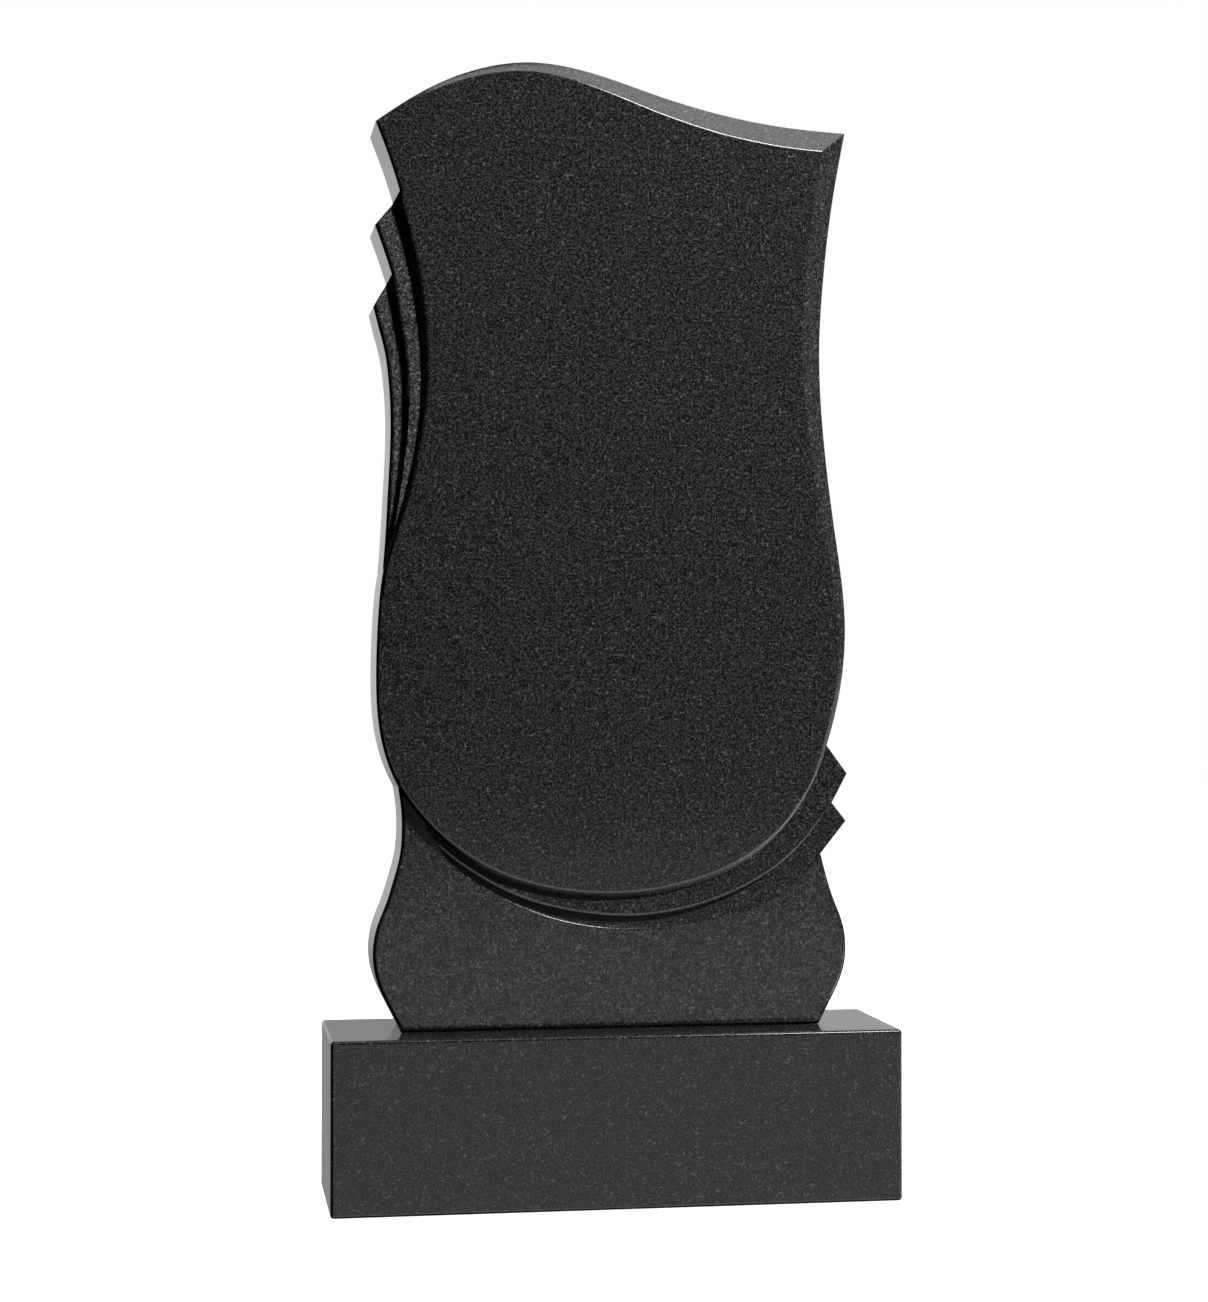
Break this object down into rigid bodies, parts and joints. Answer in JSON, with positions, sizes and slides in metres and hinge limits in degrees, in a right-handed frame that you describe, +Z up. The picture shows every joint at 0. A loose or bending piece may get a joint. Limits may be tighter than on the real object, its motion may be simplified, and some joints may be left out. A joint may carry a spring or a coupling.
{
  "type": "headstone",
  "caption": "Upright polished granite headstone carved in stepped petal-like tiers, standing on a plain rectangular plinth.",
  "frame": {"origin": "middle of the plinth's underside", "axes": "+Z up, -Y out of the carved front, +X to the right as seen from the front"},
  "size_m": [0.5, 0.15, 0.9994],
  "materials": {
    "slab_stone": "polished",
    "plinth_stone": "polished"
  },
  "bodies": {
    "root": {"stele": "slab_stone", "plinth": "plinth_stone"}
  },
  "joints": []
}
